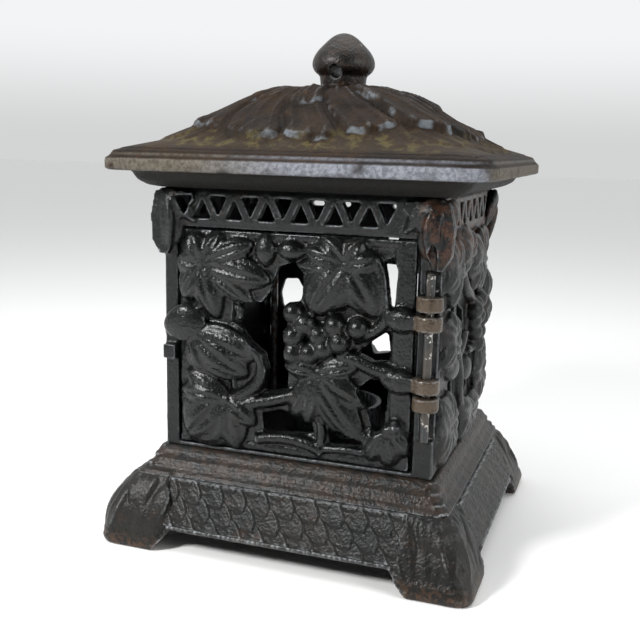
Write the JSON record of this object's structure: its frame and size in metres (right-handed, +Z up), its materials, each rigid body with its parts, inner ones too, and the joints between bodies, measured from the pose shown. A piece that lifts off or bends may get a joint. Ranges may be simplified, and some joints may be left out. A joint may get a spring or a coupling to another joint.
{
  "type": "candle lantern",
  "caption": "Cast iron candle lantern: pagoda roof with bud finial, openwork grapevine walls, hinged door with thumb tongue, and a splayed footed plinth, open inside for a candle.",
  "frame": {"origin": "centre of the feet's outline, on the surface that the lantern stands on", "axes": "+Z up through the finial, the door faces -Y, the hinge is on the +X side"},
  "size_m": [0.1712, 0.1616, 0.23],
  "materials": {
    "wall_iron": "sand cast, blackened, satin with grey worn edges",
    "door_iron": "sand cast, blackened, satin with a grey green sheen",
    "roof_iron": "sand cast, brown rust patina with grey rim",
    "base_iron": "sand cast, dark with rust brown edges and feet",
    "finial_iron": "sand cast, brown over dark grey",
    "hinge_wire": "dark iron wire, chipped bright",
    "steel_fasteners": "dull grey steel"
  },
  "bodies": {
    "lantern": {"base_plinth": "base_iron", "front_frame": "wall_iron", "rear_panel": "wall_iron", "left_panel": "wall_iron", "right_panel": "wall_iron", "roof": "roof_iron", "finial": "finial_iron", "hinge_pin": "hinge_wire", "candle_cup": "wall_iron", "finial_screw": "steel_fasteners", "finial_washer": "steel_fasteners", "cup_screw": "steel_fasteners", "cup_nut": "steel_fasteners", "tie_rod_front_left": "steel_fasteners", "rod_washer_front_left": "steel_fasteners", "rod_nut_front_left": "steel_fasteners", "tie_rod_front_right": "steel_fasteners", "rod_washer_front_right": "steel_fasteners", "rod_nut_front_right": "steel_fasteners", "tie_rod_rear_left": "steel_fasteners", "rod_washer_rear_left": "steel_fasteners", "rod_nut_rear_left": "steel_fasteners", "tie_rod_rear_right": "steel_fasteners", "rod_washer_rear_right": "steel_fasteners", "rod_nut_rear_right": "steel_fasteners"},
    "door": {"door": "door_iron"}
  },
  "joints": [
    {"name": "door_hinge", "type": "hinge", "parent": "lantern", "child": "door", "pos_m": [0.0588, -0.0606, 0.0972], "axis": [0, 0, 1], "range_deg": [0, 170]}
  ]
}
